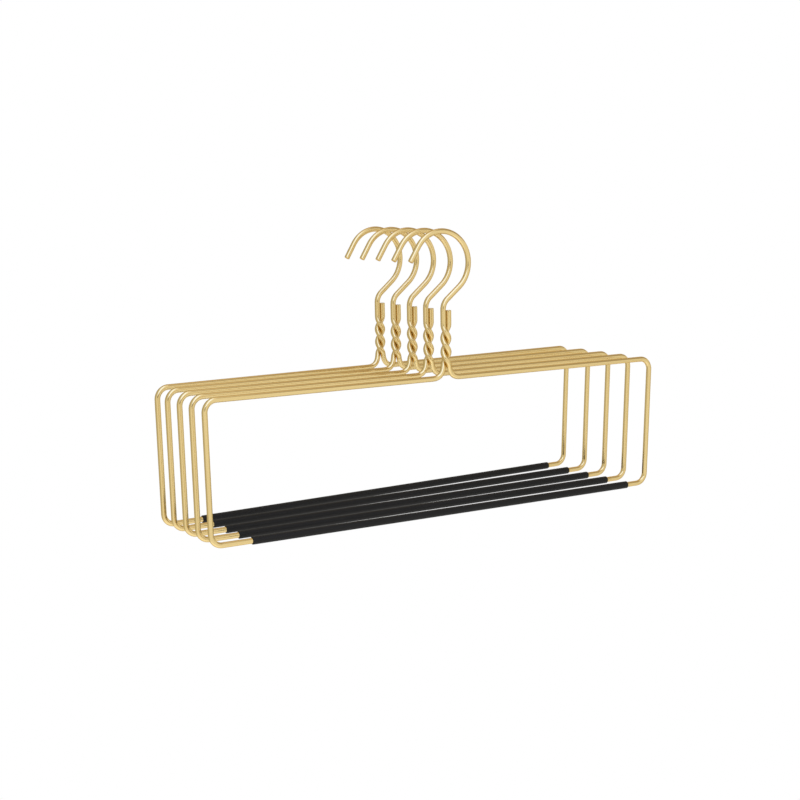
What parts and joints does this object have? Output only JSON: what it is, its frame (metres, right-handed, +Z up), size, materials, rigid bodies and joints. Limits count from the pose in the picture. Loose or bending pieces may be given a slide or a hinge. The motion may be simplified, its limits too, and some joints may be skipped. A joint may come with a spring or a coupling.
{
  "type": "open-frame trouser hanger set",
  "caption": "Satin gold wire hangers in a row: open hook, twisted neck and closed four-sided frame whose lower bar wears a black non-slip sleeve. They slide along a rail.",
  "frame": {"origin": "where the closet rail bears: the underside of the middle hanger's hook at its crown", "axes": "+X along the hangers' bars, with the hooks open towards -X; +Y along the rail, towards hanger 1 at the rear; +Z up"},
  "size_m": [0.3638, 0.1027, 0.1994],
  "materials": {
    "satin_gold_wire": "satin gold plating on steel wire",
    "black_rubber_sleeve": "satin black, lightly streaked along its length"
  },
  "bodies": {
    "hanger_3": {"hanger_3_wire": "satin_gold_wire", "hanger_3_sleeve": "black_rubber_sleeve"},
    "hanger_2": {"hanger_2_wire": "satin_gold_wire", "hanger_2_sleeve": "black_rubber_sleeve"},
    "hanger_1": {"hanger_1_wire": "satin_gold_wire", "hanger_1_sleeve": "black_rubber_sleeve"},
    "hanger_4": {"hanger_4_wire": "satin_gold_wire", "hanger_4_sleeve": "black_rubber_sleeve"},
    "hanger_5": {"hanger_5_wire": "satin_gold_wire", "hanger_5_sleeve": "black_rubber_sleeve"}
  },
  "joints": [
    {"name": "hanger_2_slide", "type": "slide", "parent": "hanger_3", "child": "hanger_2", "axis": [0, 1, 0], "range_m": [-0.0135, 0.038]},
    {"name": "hanger_1_slide", "type": "slide", "parent": "hanger_2", "child": "hanger_1", "axis": [0, 1, 0], "range_m": [-0.0115, 0.038]},
    {"name": "hanger_4_slide", "type": "slide", "parent": "hanger_3", "child": "hanger_4", "axis": [0, -1, 0], "range_m": [-0.0126, 0.0388]},
    {"name": "hanger_5_slide", "type": "slide", "parent": "hanger_4", "child": "hanger_5", "axis": [0, -1, 0], "range_m": [-0.0132, 0.0382]}
  ]
}
